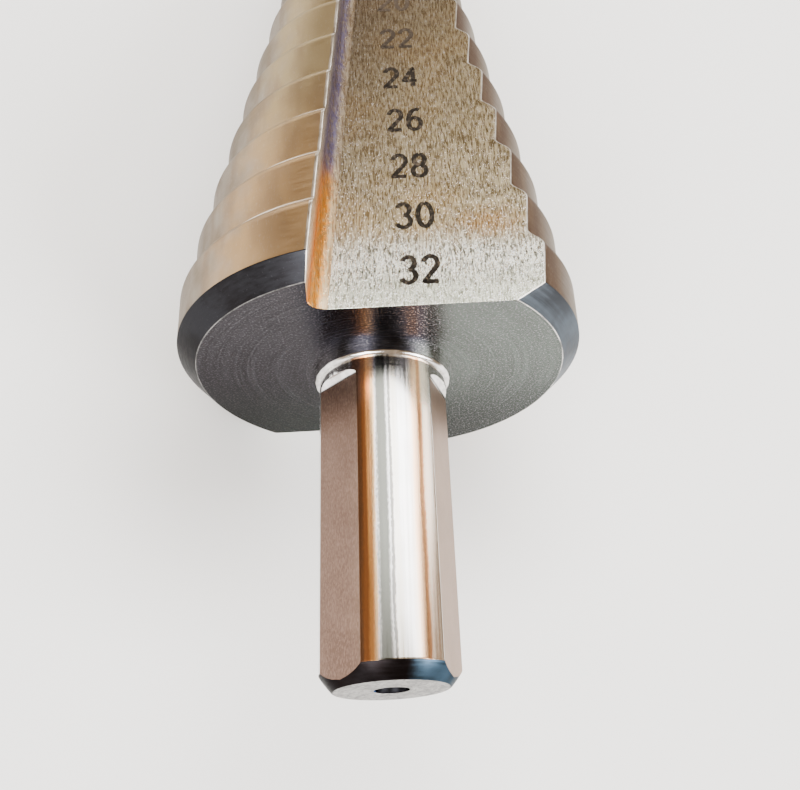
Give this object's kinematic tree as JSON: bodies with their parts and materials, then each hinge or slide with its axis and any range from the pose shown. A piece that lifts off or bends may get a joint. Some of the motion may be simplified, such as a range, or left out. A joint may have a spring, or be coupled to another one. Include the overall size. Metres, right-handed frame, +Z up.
{
  "type": "step drill",
  "caption": "Stepped cone drill bit for sheet metal, with two straight flutes and a shank with three chuck flats.",
  "frame": {"origin": "middle of the drill's box on the surface that it lies on", "axes": "+Z up; +Y along the drill towards its tip, seen from above; the drill lies on the rims of its lower flute and on its tip end"},
  "size_m": [0.032, 0.1004, 0.0274],
  "materials": {
    "tool_steel": "ground"
  },
  "bodies": {
    "root": {"step_drill": "tool_steel"}
  },
  "joints": []
}
